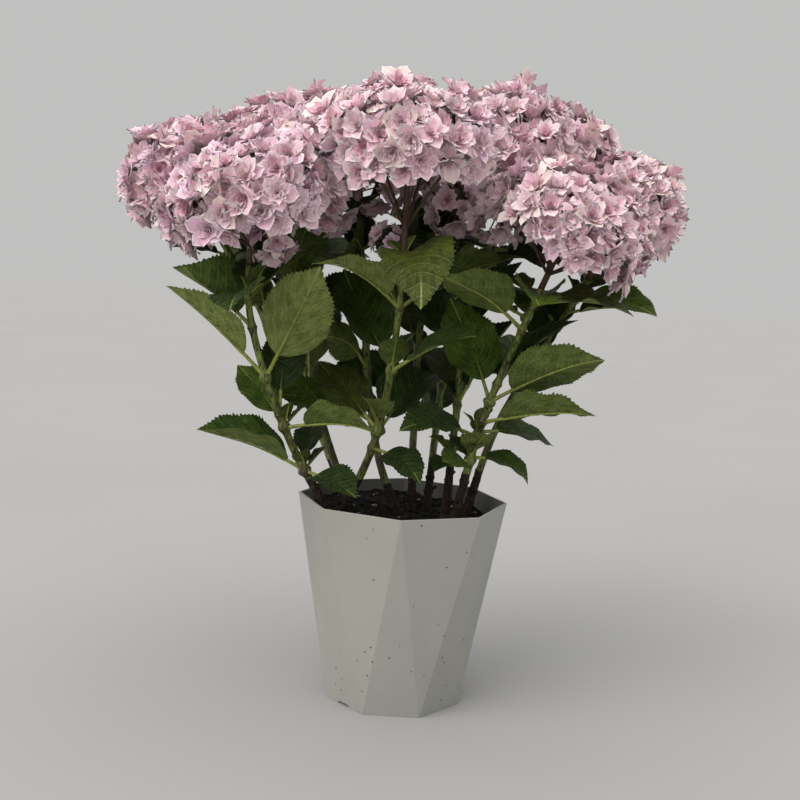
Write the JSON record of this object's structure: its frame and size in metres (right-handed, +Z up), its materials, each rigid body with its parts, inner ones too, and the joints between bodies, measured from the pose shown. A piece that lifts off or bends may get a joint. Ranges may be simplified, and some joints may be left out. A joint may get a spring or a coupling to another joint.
{
  "type": "potted hydrangea shrub",
  "caption": "Double-flowered pink mophead shrub on leafy stems, growing in a faceted eight-sided planter.",
  "frame": {"origin": "middle of the flat underside of the pot", "axes": "+Z up along the plant's height, -Y towards the viewer, +X to the viewer's right"},
  "size_m": [0.5882, 0.4214, 0.645],
  "materials": {
    "pot": "satin, speckled",
    "soil": "loose, damp",
    "bark": "rough bark",
    "foliage": "leafy, slight sheen",
    "blossom": "soft petals"
  },
  "bodies": {
    "root": {"cane_back": "bark", "cane_centre": "bark", "cane_centre_back": "bark", "cane_centre_front": "bark", "cane_far_left": "bark", "cane_far_right": "bark", "cane_left_back": "bark", "cane_left_front": "bark", "cane_right_back": "bark", "cane_right_front": "bark", "head_back": "blossom", "head_centre": "blossom", "head_centre_back": "blossom", "head_centre_front": "blossom", "head_far_left": "blossom", "head_far_right": "blossom", "head_left_back": "blossom", "head_left_front": "blossom", "head_right_back": "blossom", "head_right_front": "blossom", "pot": "pot", "shoot_back": "foliage", "shoot_centre": "foliage", "shoot_centre_back": "foliage", "shoot_centre_front": "foliage", "shoot_far_left": "foliage", "shoot_far_right": "foliage", "shoot_left_back": "foliage", "shoot_left_front": "foliage", "shoot_right_back": "foliage", "shoot_right_front": "foliage", "soil": "soil"}
  },
  "joints": []
}
